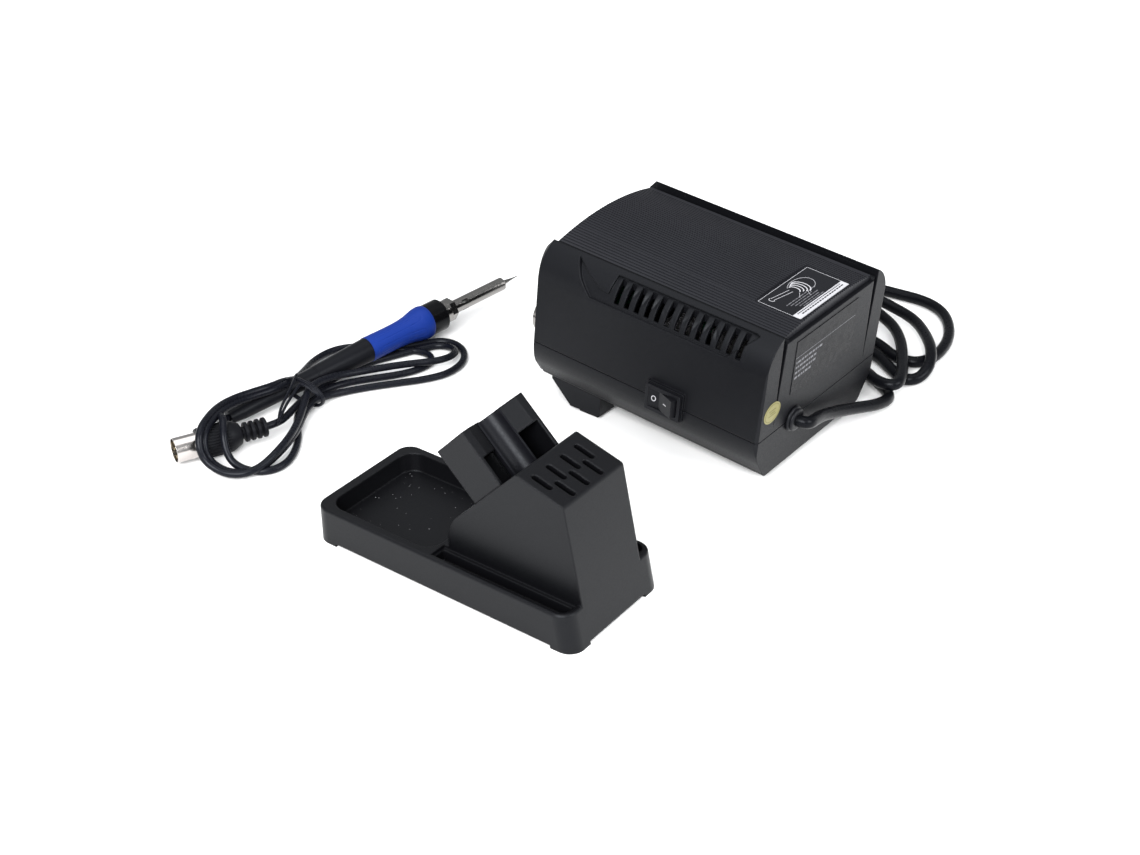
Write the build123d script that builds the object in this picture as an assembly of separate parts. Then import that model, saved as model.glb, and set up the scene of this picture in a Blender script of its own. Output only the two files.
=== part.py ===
from build123d import *
import os
from math import cos, pi, radians, sin, tan

os.makedirs("parts", exist_ok=True)

# A temperature-controlled soldering station, its iron and its iron stand, set out on a bench.
# Millimetres, +Z up, the station's front faces -Y.  The origin is on the bench under the middle
# of the whole set without its loose cords.

# ---- where the three units stand -------------------------------------------------------------
STATION_X = -78.8        # middle of the station's width
STATION_BACK = 123.0     # lower back edge of the station
STAND_X = 101.7          # middle of the stand's width
STAND_Y = 52.6           # middle of the stand's length
STAND_TURN = 1.15        # the stand is not quite square to the station, degrees
TIP_POINT = Vector(-110.7, -99.2, 15.2)    # point of the soldering tip
TAIL_POINT = Vector(94.2, -128.1, 6.3)      # end of the iron's tail boot
PLUG_FRONT = Vector(135.3, -124.0, 8.6)     # open end of the iron's plug
PLUG_BACK = Vector(90.3, -103.5, 8.6)       # end of the plug's strain relief

# ---- station case ----------------------------------------------------------------------------
TILT = 4.32              # front raised, degrees
REAR_FOOT = 4.5          # height of the rear feet
CASE_LENGTH = 139.7      # side walls, front edge to back wall
CASE_HALF = 57.8         # half width at the seam
FLOOR = -25.4            # underside, from the seam
DECK = 51.0              # recessed deck under the ribbed panel
LIP = 56.2               # top of the side lips
CROWN = 58.9             # top of the front panel's arch
BROW = 1.25              # fall of the front panel's sloping top, per mm ahead of the side walls
WALL = 2.5
PANEL_HALF = 40.8        # half width of the ribbed panel
BULGE = 10.0             # front panel's bulge ahead of the side walls
LEG_PAD = 1.5            # rubber pad under each front leg

# ---- switch, socket, buttons -----------------------------------------------------------------
SWITCH_Y, SWITCH_Z = 84.8, 1.6
SWITCH_LONG, SWITCH_HIGH = 21.0, 15.0
SWITCH_FACE = 59.2       # face of the raised frame round the switch
ROCKER_REST = 10.0       # tilt of the paddle at rest
GROMMET_X = 25.0
MAINS_R = 3.2            # mains lead radius
LEAD_R = 2.0             # iron lead radius
BUTTON_X = (-30.0, -12.0, 6.0)
BUTTON_Z = 4.0
BUTTON_R = 4.5
SOCKET_X, SOCKET_Z = 32.0, 2.0
SOCKET_BORE = 6.9
DISPLAY_X, DISPLAY_Z = 0.0, 30.0
DISPLAY_W, DISPLAY_H = 56.0, 24.0

# ---- stand -----------------------------------------------------------------------------------
STAND_HALF_X = 34.2
STAND_HALF_Y = 79.0
RIM_Z = 19.5
STAND_FRONT = -75.7      # the tray's end
STAND_HEEL = 78.2        # where the stand's leaning back meets the bench
TRAY_Z = 9.5
SKIRT_Z = 1.6            # gap under the stand's skirt between its corners
CORNER = 13.0            # how far a corner of the skirt reaches along each side
FOOT_R = 4.5
LIP = 2.4                # thickness of the stand's rim beside the tower
TOWER_HALF = 22.2        # half width of the tower
HOLDER_HALF = 21.3       # half width of the iron holder
SLOPE_FOOT = Vector(0, 6.6, 41.0)     # ends of the tower's sloping front, seen from the side
SLOPE_TOP = Vector(0, 38.0, 74.8)
TOWER_BACK = Vector(0, 63.8, 67.8)    # top of the stand's leaning back
HOLDER_UP = 11.1         # lower side of the holder, up the slope from its foot
HOLDER_REACH = 29.0      # how far the holder stands out of the tower
HOLDER_DEEP = 21.5
GUIDE_R = 7.0            # half-round channel for the iron

# ---- iron, as distances from the point of the tip ----------------------------------------------
TUBE_FRONT, NUT_FRONT, COLLAR_FRONT, GRIP_FRONT, GRIP_BACK = 12.0, 51.5, 60.0, 71.0, 113.5
BOOT_FRONT, IRON_LENGTH = 150.0, 207.0

cos_t, sin_t = cos(radians(TILT)), sin(radians(TILT))
station_origin = Vector(
    STATION_X,
    STATION_BACK - CASE_LENGTH * cos_t - FLOOR * sin_t,
    REAR_FOOT + CASE_LENGTH * sin_t - FLOOR * cos_t,
)
station = Location(station_origin, (-TILT, 0, 0))


# ---- small helpers -----------------------------------------------------------------------------
def block(x0, x1, y0, y1, z0, z1):
    """A box between two corners."""
    return Pos((x0 + x1) / 2, (y0 + y1) / 2, (z0 + z1) / 2) * Box(x1 - x0, y1 - y0, z1 - z0)


def turned(points):
    """A solid of revolution about Z from (radius, height) points."""
    outline = Polyline(*[(r, 0, z) for r, z in points], close=True)
    return revolve(make_face(outline), Axis.Z)


def along_y(outline, y0, y1):
    """A closed XZ outline pushed from y0 to y1."""
    face = Pos(0, y0, 0) * make_face(outline)
    return extrude(face, amount=y1 - y0, dir=(0, 1, 0))


def xz(x, z):
    return (x, 0, z)


def ahead(point, toward):
    """A frame at a point whose Z runs toward another point and whose X is as level as can be."""
    direction = (toward - point).normalized()
    side = Vector(0, 0, 1).cross(direction).normalized()
    return Plane(origin=point, x_dir=side, z_dir=direction).location


def half_and_mirror(curves):
    half = Curve() + curves
    return half + mirror(half, Plane.YZ)


# ---- station case ------------------------------------------------------------------------------
def case_outline():
    """The case's cross-section, with the recessed deck between its two side lips."""
    return half_and_mirror([
        Line(xz(0, FLOOR), xz(44.5, FLOOR)),
        ThreePointArc(xz(44.5, FLOOR), xz(47.0, -24.2), xz(48.7, -21.8)),
        Line(xz(48.7, -21.8), xz(53.2, -15.0)),
        ThreePointArc(xz(53.2, -15.0), xz(56.7, -7.8), xz(CASE_HALF, 0)),
        Line(xz(CASE_HALF, 0), xz(57.0, 38.0)),
        ThreePointArc(xz(57.0, 38.0), xz(54.0, 47.6), xz(45.2, 56.0)),
        Line(xz(45.2, 56.0), xz(43.8, LIP)),
        Line(xz(43.8, LIP), xz(41.2, 53.7)),
        Line(xz(41.2, 53.7), xz(41.2, DECK)),
        Line(xz(41.2, DECK), xz(0, DECK)),
    ])


def cavity_outline():
    """The space inside the case."""
    return half_and_mirror([
        Line(xz(0, FLOOR + WALL), xz(43.4, FLOOR + WALL)),
        Line(xz(43.4, FLOOR + WALL), xz(50.9, -13.6)),
        ThreePointArc(xz(50.9, -13.6), xz(54.2, -7.2), xz(CASE_HALF - WALL, 0)),
        Line(xz(CASE_HALF - WALL, 0), xz(54.5, 37.5)),
        ThreePointArc(xz(54.5, 37.5), xz(51.9, 44.8), xz(45.5, DECK - WALL)),
        Line(xz(45.5, DECK - WALL), xz(0, DECK - WALL)),
    ])


def front_outline(inset):
    """The front panel's outline, whose top is one arch, pulled in by inset."""
    return half_and_mirror([
        Line(xz(0, FLOOR + inset), xz(44.5 - inset, FLOOR + inset)),
        Line(xz(44.5 - inset, FLOOR + inset), xz(53.2 - inset, -15.0 + inset)),
        ThreePointArc(xz(53.2 - inset, -15.0 + inset), xz(56.7 - inset, -7.8), xz(CASE_HALF - inset, 0)),
        Line(xz(CASE_HALF - inset, 0), xz(57.0 - inset, 38.0)),
        ThreePointArc(xz(57.0 - inset, 38.0), xz(54.0 - inset, 47.6 - inset), xz(45.2 - inset, 56.0 - inset)),
        Line(xz(45.2 - inset, 56.0 - inset), xz(43.8 - inset, LIP - inset)),
        Line(xz(43.8 - inset, LIP - inset), xz(41.2 - inset, 53.7 - inset)),
        ThreePointArc(xz(41.2 - inset, 53.7 - inset), xz(22.4, CROWN - 1.5 - inset), xz(0, CROWN - inset)),
    ])


def vent_outline():
    """Side view of the vent recess: a spike at the front, a pointed tip at the back."""
    return Polyline((0, 18.6, 54.6), (0, 24.5, 47.0), (0, 32.3, 39.6), (0, 115.0, 39.8), (0, 128.4, 53.6),
                    (0, 126.0, 54.1), (0, 44.0, 53.8), (0, 42.9, 45.4), (0, 37.5, 45.8), close=True)


def vents():
    """What both side vents take out of the case: a shallow recess and a row of slots."""
    recess_side = extrude(make_face(vent_outline()), amount=60, dir=(1, 0, 0), both=True)
    inner = along_y(half_and_mirror([
        Line(xz(0, 30), xz(56.0, 30)),
        Line(xz(56.0, 30), xz(55.7, 38.0)),
        ThreePointArc(xz(55.7, 38.0), xz(52.9, 46.6), xz(44.6, 54.4)),
        Line(xz(44.6, 54.4), xz(0, 54.4)),
    ]), 0, CASE_LENGTH)
    recess = recess_side - inner
    slots = []
    for k in range(13):
        y = 46.5 + 6.15 * k
        slot = block(-60, 60, y, y + 3.0, 41.0, 53.0) - block(-47.5, 47.5, y - 1, y + 4, 40, 54)
        slots.append(slot)
    return recess + slots


def whole_case():
    """Both case halves in one, before they are parted at the seam."""
    plan = make_face(Polyline((-70, 0, 0), (70, 0, 0), (70, CASE_LENGTH, 0), (-70, CASE_LENGTH, 0),
                              close=True))
    shell = along_y(case_outline(), 0, CASE_LENGTH)
    shell &= extrude(fillet(plan.vertices().sort_by(Axis.Y)[2:], 1.5), amount=200, both=True)
    corner = make_face(Polyline((CASE_HALF + 1, CASE_LENGTH + 1, 0), (CASE_HALF - 2.5, CASE_LENGTH + 1, 0),
                                (CASE_HALF + 1, CASE_LENGTH - 2.5, 0), close=True))
    cut = extrude(corner, amount=100, both=True)
    shell -= cut
    shell -= mirror(cut, Plane.YZ)
    shell -= along_y(cavity_outline(), -1, CASE_LENGTH - WALL)
    frame = block(54.0, SWITCH_FACE, SWITCH_Y - 11.3, SWITCH_Y + 11.3, SWITCH_Z - 8.3, SWITCH_Z + 8.3)
    shell += fillet(frame.edges().filter_by(Axis.X), 1.2)
    shell -= block(50, 70, SWITCH_Y - 9.8, SWITCH_Y + 9.8, SWITCH_Z - 6.6, SWITCH_Z + 6.6)
    shell -= Pos(GROMMET_X, CASE_LENGTH, 0) * Rot(90, 0, 0) * Cylinder(4.7, 12)
    return shell


def seam_groove():
    """A hairline groove that marks the parting line round the sides and the back."""
    lines = block(CASE_HALF - 0.5, CASE_HALF + 1, 0, CASE_LENGTH, 0, 0.5)
    lines += block(-CASE_HALF - 1, -CASE_HALF + 0.5, 0, CASE_LENGTH, 0, 0.5)
    lines += block(-CASE_HALF, CASE_HALF, CASE_LENGTH - 0.5, CASE_LENGTH + 1, 0, 0.5)
    return lines


def upper_cover():
    cover = whole_case() & block(-80, 80, -10, 160, 0, 80)
    return cover - vents() - seam_groove()


def screw_places():
    return [(sx * 40.0, y) for sx in (-1, 1) for y in (50.0, 126.0)]


def lower_shell():
    shell = whole_case() & block(-80, 80, -10, 160, -40, 0)
    leg_side = Polyline((0, 5.5, -24.0), (0, 5.5, -25.8), (0, 21.5, -40.0), (0, 38.0, -40.0),
                        (0, 38.0, -24.0), close=True)
    leg = extrude(make_face(leg_side), amount=13.0, dir=(1, 0, 0))
    for x in (-47.0, 34.0):
        shell += Pos(x, 0, 0) * leg
    for x, y in screw_places():
        shell += Pos(x, y, FLOOR / 2) * Cylinder(4.0, -FLOOR - 1.0)
        shell -= Pos(x, y, FLOOR / 2) * Cylinder(1.6, 40)
        shell -= Pos(x, y, FLOOR + 1.0) * Cylinder(3.2, 3.0)
    placed = station * shell
    return placed & block(-400, 400, -400, 400, LEG_PAD, 200)


def leg_pads():
    """Two rubber pads under the front legs, level with the bench."""
    pads = []
    for x in (-40.5, 40.5):
        foot = station * block(x - 5.5, x + 5.5, 24.5, 36.5, -45, -30)
        pads.append(foot & block(-400, 400, -400, 400, 0, LEG_PAD))
    return Compound(children=pads)


def rear_feet():
    feet = []
    for x in (-30.0, 30.0):
        foot = station * (Pos(x, 118.0, FLOOR - 5.0) * Cylinder(6.0, 10.0))
        feet.append(foot & block(-400, 400, -400, 400, 0, 60))
    return Compound(children=feet)


def case_screws():
    screws = []
    for x, y in screw_places():
        shank = Pos(x, y, FLOOR + 10.5) * Cylinder(1.5, 16.0)
        head = Pos(x, y, FLOOR + 1.6) * Cylinder(2.9, 1.8)
        screws.append(shank + head - Pos(x, y, FLOOR + 0.9) * Box(4.0, 0.8, 1.2))
    return station * Compound(children=screws)


def top_panel():
    """The ribbed roof panel, arched at the front and flatter at the back."""
    def section(y, rise):
        outline = half_and_mirror([
            Line(xz(0, DECK), xz(PANEL_HALF, DECK)),
            Line(xz(PANEL_HALF, DECK), xz(PANEL_HALF, 53.8)),
            ThreePointArc(xz(PANEL_HALF, 53.8), xz(PANEL_HALF * 0.55, 53.8 + rise * 0.72), xz(0, 53.8 + rise)),
        ])
        return Pos(0, y, 0) * make_face(outline)
    panel = loft([section(0.0, 5.2), section(137.4, 2.6)])
    return station * (panel - block(-23.6, 25.4, 109.4, 136.6, 55.2, 62))


def top_label():
    return station * block(-23.0, 24.8, 110.0, 136.0, 55.2, 55.5)


def rating_plate():
    return station * block(-27.0, 31.5, CASE_LENGTH, CASE_LENGTH + 0.3, 17.0, 47.5)


def qc_sticker():
    oval = extrude(Plane.XZ * Pos(47.0, 14.0) * Ellipse(7.3, 5.8), amount=-0.2)
    return station * (Pos(0, CASE_LENGTH, 0) * oval)


# ---- station front -----------------------------------------------------------------------------
def front_skin(depth):
    """The front panel's block: its outline cut to the bulged face and to the sloping top."""
    radius = (CASE_HALF ** 2 + BULGE ** 2) / (2 * BULGE)
    bow = Pos(0, radius - BULGE + depth, 15) * Cylinder(radius, 120)
    brow = extrude(make_face(front_outline(depth)), amount=30, dir=(0, -1, -BROW))
    return along_y(front_outline(depth), -20, 0) & bow & brow


def front_panel():
    panel = front_skin(0) - front_skin(2.5)
    panel -= block(DISPLAY_X - DISPLAY_W / 2, DISPLAY_X + DISPLAY_W / 2, -30, 5,
                   DISPLAY_Z - DISPLAY_H / 2, DISPLAY_Z + DISPLAY_H / 2)
    for x in BUTTON_X:
        panel -= Pos(x, -5, BUTTON_Z) * Rot(90, 0, 0) * Cylinder(BUTTON_R + 0.4, 20)
    panel -= Pos(SOCKET_X, -5, SOCKET_Z) * Rot(90, 0, 0) * Cylinder(SOCKET_BORE + 1.5, 30)
    panel -= Pos(-42.0, -5, BUTTON_Z) * Rot(90, 0, 0) * Cylinder(1.6, 20)
    return station * panel


def display_window():
    pane = block(DISPLAY_X - DISPLAY_W / 2 + 0.1, DISPLAY_X + DISPLAY_W / 2 - 0.1, -20, 0,
                 DISPLAY_Z - DISPLAY_H / 2 + 0.1, DISPLAY_Z + DISPLAY_H / 2 - 0.1)
    return station * (pane & (front_skin(0.4) - front_skin(2.2)))


def display_module():
    return station * block(DISPLAY_X - 25, DISPLAY_X + 25, -2.5, 5.0, DISPLAY_Z - 10.0, DISPLAY_Z + 10.0)


def front_pcb():
    return station * block(-48, 18, 5.0, 6.6, -8.0, 45.0)


def status_led():
    lens = Pos(-42.0, -0.5, BUTTON_Z) * Rot(90, 0, 0) * Cylinder(1.45, 11.0)
    return station * lens


def push_button(x):
    """One push button: a domed cap on a square stem that stops on the front board's switch."""
    front = -BULGE * (1 - (x / CASE_HALF) ** 2)
    cap = Pos(x, front + 1.5, BUTTON_Z) * Rot(90, 0, 0) * Cylinder(BUTTON_R, 6.0)
    cap = fillet(cap.edges().sort_by(Axis.Y)[0], 0.8)
    return station * (cap + block(x - 1.5, x + 1.5, front + 4.0, 3.7, BUTTON_Z - 1.5, BUTTON_Z + 1.5))


def iron_socket():
    """A panel socket: a threaded metal shell with its nut, and the insulator inside it."""
    across = Pos(SOCKET_X, 0, SOCKET_Z) * Rot(90, 0, 0)
    barrel = Cylinder(SOCKET_BORE + 1.3, 22)
    flange = Pos(0, 0, 11.6) * Cylinder(11.0, 2.4)
    shell = barrel + flange - Cylinder(SOCKET_BORE, 40)
    nut = Pos(0, 0, -3.0) * extrude(RegularPolygon(11.5, 6), amount=2.5, both=False)
    nut -= Cylinder(SOCKET_BORE + 1.35, 60)
    insert = Pos(0, 0, -3.0) * Cylinder(SOCKET_BORE - 0.05, 12.0)
    for k in range(5):
        turn = radians(-90 + 72 * k)
        insert -= Pos(4.0 * cos(turn), 4.0 * sin(turn), 0) * Cylinder(0.8, 12.0)
    return station * (across * shell), station * (across * nut), station * (across * insert)


# ---- station inside ----------------------------------------------------------------------------
def main_pcb():
    board = block(-48, 48, 20, 78, -14.0, -12.4)
    for x, y in screw_places():
        board -= Pos(x, y, -13) * Cylinder(4.6, 10)
    return station * board


def pcb_components():
    """The tall parts of the main board: capacitors, a relay and a terminal block."""
    parts = [Pos(-36 + 13 * k, 34, -3.4) * Cylinder(5.0, 18.0) for k in range(3)]
    parts.append(block(14, 32, 30, 46, -12.4, 3.0))
    parts.append(block(-34, -4, 62, 72, -12.4, -2.0))
    return station * Compound(children=parts)


def heat_sink():
    fins = block(4, 34, 56, 58, -12.4, 20)
    for k in range(6):
        x = 5.0 + 5.6 * k
        fins += block(x, x + 1.4, 58, 70, -12.4, 20)
    return station * fins


def transformer():
    """A laminated core with two windows, its winding, and the strap that holds it down."""
    core = block(-34, 26, 88, 118, -20.9, 30.0)
    core -= block(-24, -10, 80, 125, -11.0, 20.0)
    core -= block(2, 16, 80, 125, -11.0, 20.0)
    winding = block(-23.6, 15.6, 83, 123, -10.6, 19.6) - block(-10.05, 2.05, 87.9, 118.1, -20, 30)
    strap = block(-36, 28, 96, 110, -22.9, 31.5) - block(-34.05, 26.05, 80, 125, -23, 30.05)
    for x in (-43, 28):
        strap += block(x, x + 7, 96, 110, -22.9, -21.4)
    return station * core, station * winding, station * strap


# ---- mains switch and lead ---------------------------------------------------------------------
switch_axis = (SWITCH_FACE - 1.2, SWITCH_Y, SWITCH_Z)


def rocker_housing():
    bezel = block(SWITCH_FACE, SWITCH_FACE + 1.8, SWITCH_Y - SWITCH_LONG / 2, SWITCH_Y + SWITCH_LONG / 2,
                  SWITCH_Z - SWITCH_HIGH / 2, SWITCH_Z + SWITCH_HIGH / 2)
    bezel = fillet(bezel.edges().filter_by(Axis.X), 0.8)
    body = bezel + block(SWITCH_FACE - 15, SWITCH_FACE, SWITCH_Y - 9.6, SWITCH_Y + 9.6,
                         SWITCH_Z - 6.4, SWITCH_Z + 6.4)
    body -= block(SWITCH_FACE - 8.5, SWITCH_FACE + 5, SWITCH_Y - 8.7, SWITCH_Y + 8.7,
                  SWITCH_Z - 5.4, SWITCH_Z + 5.4)
    body -= Pos(*switch_axis) * Cylinder(0.95, 12.6)
    return station * body


def rocker_paddle():
    """The rocker: two flats that meet in a shallow valley, on two short trunnions."""
    side = Polyline((-3.4, -7.8, 0), (1.0, -8.3, 0), (4.4, -7.9, 0), (2.6, -2.0, 0), (4.4, 7.9, 0),
                    (1.0, 8.3, 0), (-3.4, 7.8, 0), close=True)
    rocker = extrude(make_face(side), amount=5.1, both=True)
    rocker += Cylinder(0.9, 12.4)
    return station * (Pos(*switch_axis) * Rot(0, 0, -ROCKER_REST) * rocker)


def switch_terminals():
    blades = [block(SWITCH_FACE - 24, SWITCH_FACE - 15, SWITCH_Y + dy - 0.4, SWITCH_Y + dy + 0.4,
                    SWITCH_Z - 2.4, SWITCH_Z + 2.4) for dy in (-6.0, 0.0, 6.0)]
    return station * Compound(children=blades)


def cord_grommet():
    """A rubber grommet: a flange outside, a flange inside and a sleeve through the back wall."""
    ring = turned([(MAINS_R + 0.05, -4.0), (6.4, -4.0), (6.4, -WALL), (4.6, -WALL), (4.6, 0),
                   (6.9, 0), (6.9, 2.2), (5.8, 3.6), (MAINS_R + 0.05, 3.6)])
    return station * (Pos(GROMMET_X, CASE_LENGTH, 0) * Rot(-90, 0, 0) * ring)


def cord_tube(points, radius, name):
    """A cord: straight runs joined by arcs as large as their two runs allow."""
    points = [Vector(*p) for p in points]
    radii = []
    for before, here, after in zip(points, points[1:], points[2:]):
        into, out = here - before, after - here
        turn = radians(into.get_angle(out))
        radii.append(0.45 * min(into.length, out.length) / tan(turn / 2))
    path = FilletPolyline(*points, radius=radii)
    start = Plane(origin=points[0], z_dir=points[1] - points[0])
    tube = sweep(start * Circle(radius), path=path)
    print(name, "radii", [round(r, 1) for r in radii], "length", round(path.length, 1),
          "volume ratio", round(tube.volume / (pi * radius ** 2 * path.length), 4))
    return tube


grommet_mouth = station * Pos(GROMMET_X, CASE_LENGTH + 3.6, 0)
exit_point = Vector(*grommet_mouth.position)
first_bend = Vector(*(station * Pos(GROMMET_X, CASE_LENGTH + 8.2, 0)).position)
MAINS_ROUTE = [
    (exit_point.X, exit_point.Y, exit_point.Z),
    (first_bend.X, first_bend.Y, first_bend.Z),
    (-55.5, 137.4, 28.6),
    (-59.2, 141.0, 27.8),
    (-65.2, 143.0, 26.2),
    (-75.2, 142.2, 24.2),
    (-91.0, 139.8, 19.6),
    (-109.0, 138.9, 13.2),
    (-126.0, 138.9, 7.8),
    (-139.0, 136.0, 4.6),
    (-149.6, 129.0, 3.4),
]
MAINS_TAIL = [
    (-160.2, -13.5, 8.0),
    (-160.8, -20.0, 10.2),
    (-162.4, -26.6, 13.2),
    (-165.2, -32.8, 15.6),
    (-168.8, -38.6, 16.6),
    (-172.4, -44.4, 16.8),
]
COIL_X, COIL_Y = -197.7, 61.1
COIL_HALF_X, COIL_HALF_Y, COIL_BAND, COIL_HIGH = 57.0, 75.0, 26.0, 20.0


def mains_coil():
    """The outer shape of the mains lead's coil, lying beside the station."""
    ring = Ellipse(COIL_HALF_X, COIL_HALF_Y) - Ellipse(COIL_HALF_X - COIL_BAND, COIL_HALF_Y - COIL_BAND)
    return Pos(COIL_X, COIL_Y, 0) * extrude(ring, amount=COIL_HIGH)


def mains_plug():
    """A moulded two-pin mains plug with its strain relief, lying on its rim."""
    before, last = Vector(*MAINS_TAIL[-2]), Vector(*MAINS_TAIL[-1])
    at = ahead(last, last + (last - before))
    body = turned([(MAINS_R + 0.02, 0), (5.0, 0), (6.5, 14.0), (12.0, 18.0), (16.4, 26.0), (16.4, 46.0),
                   (0, 46.0), (0, 10.0), (MAINS_R + 0.02, 10.0)])
    pins = [Pos(9.5 * s, 0, 46.0 + 9.5) * Cylinder(2.4, 19.0) for s in (-1, 1)]
    return at * body, at * Compound(children=pins)


# ---- stand ---------------------------------------------------------------------------------------
def stand_plan(inset, low_y, high_y, radius):
    """A rounded rectangle of the stand's width, pulled in by inset."""
    half = STAND_HALF_X - inset
    plate = Rectangle(2 * half, high_y - low_y)
    return Pos(0, (low_y + high_y) / 2) * fillet(plate.vertices(), radius)


def foot_places():
    low, high = STAND_FRONT + 8.5, STAND_HALF_Y - 13.0
    return [(sx * (STAND_HALF_X - 8.5), y) for sx in (-1, 1) for y in (low, high)]


def tower_side():
    """Side view of the tower: a sloping front, a top that falls to the back, a leaning back."""
    return Curve() + [
        Line((0, -2.0, RIM_Z - 4), (0, -2.0, 26.0)),
        ThreePointArc((0, -2.0, 26.0), (0, 0.6, 34.0), SLOPE_FOOT),
        Line(SLOPE_FOOT, SLOPE_TOP),
        Line(SLOPE_TOP, TOWER_BACK),
        Line(TOWER_BACK, (0, back_at(RIM_Z - 4), RIM_Z - 4)),
        Line((0, back_at(RIM_Z - 4), RIM_Z - 4), (0, -2.0, RIM_Z - 4)),
    ]


def holder_frame():
    """A frame on the tower's slope: Z runs out along the iron holder, Y runs up the slope."""
    up = (SLOPE_TOP - SLOPE_FOOT).normalized()
    out = Vector(0, -up.Z, up.Y)
    return Plane(origin=SLOPE_FOOT + up * HOLDER_UP, x_dir=(1, 0, 0), z_dir=out).location


def back_at(z):
    """How far back the stand's leaning back is at a height."""
    return STAND_HEEL + (TOWER_BACK.Y - STAND_HEEL) * z / TOWER_BACK.Z


def stand_block():
    """The stand's base: a slab with a leaning back, rounded corners and a soft rim."""
    side = Polyline((0, STAND_FRONT, 0), (0, STAND_HEEL, 0), (0, back_at(RIM_Z), RIM_Z), (0, STAND_FRONT, RIM_Z),
                    close=True)
    slab = extrude(make_face(side), amount=STAND_HALF_X, dir=(1, 0, 0), both=True)
    uprights = [e for e in slab.edges() if abs((e @ 1 - e @ 0).Z) > RIM_Z - 1]
    slab = fillet(uprights, 8.0)
    return fillet(slab.edges().group_by(Axis.Z)[-1], 1.4)


def stand_base():
    base = stand_block()
    for sx in (-1, 1):
        base -= Pos(sx * STAND_HALF_X, 0, 0) * block(-2, 2, STAND_FRONT + CORNER, STAND_HEEL - CORNER, -1, SKIRT_Z)
    base -= block(CORNER - STAND_HALF_X, STAND_HALF_X - CORNER, -100, 100, -1, SKIRT_Z)
    base -= Pos(0, 0, -1) * extrude(stand_plan(3.0, STAND_FRONT + 3, STAND_HALF_Y - 8, 5.5), amount=8.0)
    for x, y in foot_places():
        base += Pos(x, y, 4.0 + SKIRT_Z) * Cylinder(FOOT_R, 8.0)
    tray = extrude(stand_plan(5.2, STAND_FRONT + 6.4, -7.0, 8.0), amount=30, taper=-4)
    base -= Pos(0, 0, TRAY_Z) * tray
    base -= channels()
    tower = extrude(make_face(tower_side()), amount=TOWER_HALF, dir=(1, 0, 0), both=True)
    tower = fillet(tower.edges().filter_by(Axis.X).sort_by(Axis.Z)[-2:], 2.0)
    base += tower
    base -= tower_hollow()
    for x, y in tip_slots():
        base -= Pos(x, y, 70) * Rot(-15.2, 0, 0) * extrude(SlotOverall(11.2, 3.2, rotation=90), amount=30, both=True)
    return stand_at * base


def channels():
    """A channel on each side of the tower, with a low ledge beside the tower."""
    inside = extrude(stand_plan(LIP, STAND_FRONT, back_at(RIM_Z) - LIP, 5.6), amount=40)
    cuts = []
    for sx in (-1, 1):
        near, ledge, far = sx * TOWER_HALF, sx * (TOWER_HALF + 2.0), sx * STAND_HALF_X
        cuts.append(block(min(near, far), max(near, far), -4.5, 80, RIM_Z - 1.6, 40))
        cuts.append(block(min(ledge, far), max(ledge, far), -3.5, 69.5, TRAY_Z + 3.0, 40))
    return inside & (cuts[0] + cuts[1] + cuts[2] + cuts[3])


def tip_slots():
    """Seven slots for spare tips: a row of four and a row of three set between them."""
    front = [(16.8 - 10.3 * k, 47.8) for k in range(4)]
    back = [(11.7 - 10.3 * k, 57.0) for k in range(3)]
    return front + back


def tower_hollow():
    """The space in the tower, open below, and the mouth that takes the iron."""
    side = Polyline((0, 6.0, -5), (0, 4.5, 27.0), (0, 40.5, 66.0), (0, 41.0, 70.6), (0, 60.4, 65.2),
                    (0, 68.5, 19.5), (0, 73.0, -5), close=True)
    room = extrude(make_face(side), amount=TOWER_HALF - 2.5, dir=(1, 0, 0), both=True)
    mouth = holder_frame() * Pos(0, 15.5, 0) * Box(2 * TOWER_HALF - 5.0, 29.0, 24.0)
    return room + mouth


def iron_holder():
    """The block that carries the iron: a box open on top with a vee-shaped rest at its outer end."""
    w, deep = HOLDER_HALF, HOLDER_DEEP
    rest = 14.4
    box_end = Polyline((-w, 0, 0), (w, 0, 0), (w, deep, 0), (w - 4.7, deep, 0), (7.3, deep - 4.2, 0),
                       (-7.3, deep - 4.2, 0), (-w + 4.7, deep, 0), (-w, deep, 0), close=True)
    rest_block = extrude(make_face(box_end), amount=rest)
    rest_block = Pos(0, 0, HOLDER_REACH - rest) * rest_block
    walls = Pos(0, deep / 2, (HOLDER_REACH - rest) / 2) * Box(2 * w, deep, HOLDER_REACH - rest)
    walls -= Pos(0, deep / 2 + 2.0, 0) * Box(2 * w - 3.6, deep, 60)
    body = rest_block + walls
    body -= Pos(0, deep - 3.4, 20) * Cylinder(GUIDE_R + 1.2, 80)
    return stand_at * (holder_frame() * body)


def holder_guide():
    """A half-round liner in the holder that guides the iron's barrel into the tower."""
    tube = Cylinder(GUIDE_R + 1.15, HOLDER_REACH + 3.0) - Cylinder(GUIDE_R, 80)
    tube -= Pos(0, 25.0, 0) * Box(50, 50, 80)
    half = Pos(0, HOLDER_DEEP - 3.4, HOLDER_REACH / 2 - 1.6) * tube
    return stand_at * (holder_frame() * half)


def stand_feet():
    feet = [Pos(x, y, SKIRT_Z / 2) * Cylinder(FOOT_R, SKIRT_Z) for x, y in foot_places()]
    return stand_at * Compound(children=feet)


stand_at = Pos(STAND_X, STAND_Y, 0) * Rot(0, 0, STAND_TURN)

# ---- iron ----------------------------------------------------------------------------------------
iron = ahead(TIP_POINT, TAIL_POINT)
plug = ahead(PLUG_BACK, PLUG_FRONT)


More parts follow.
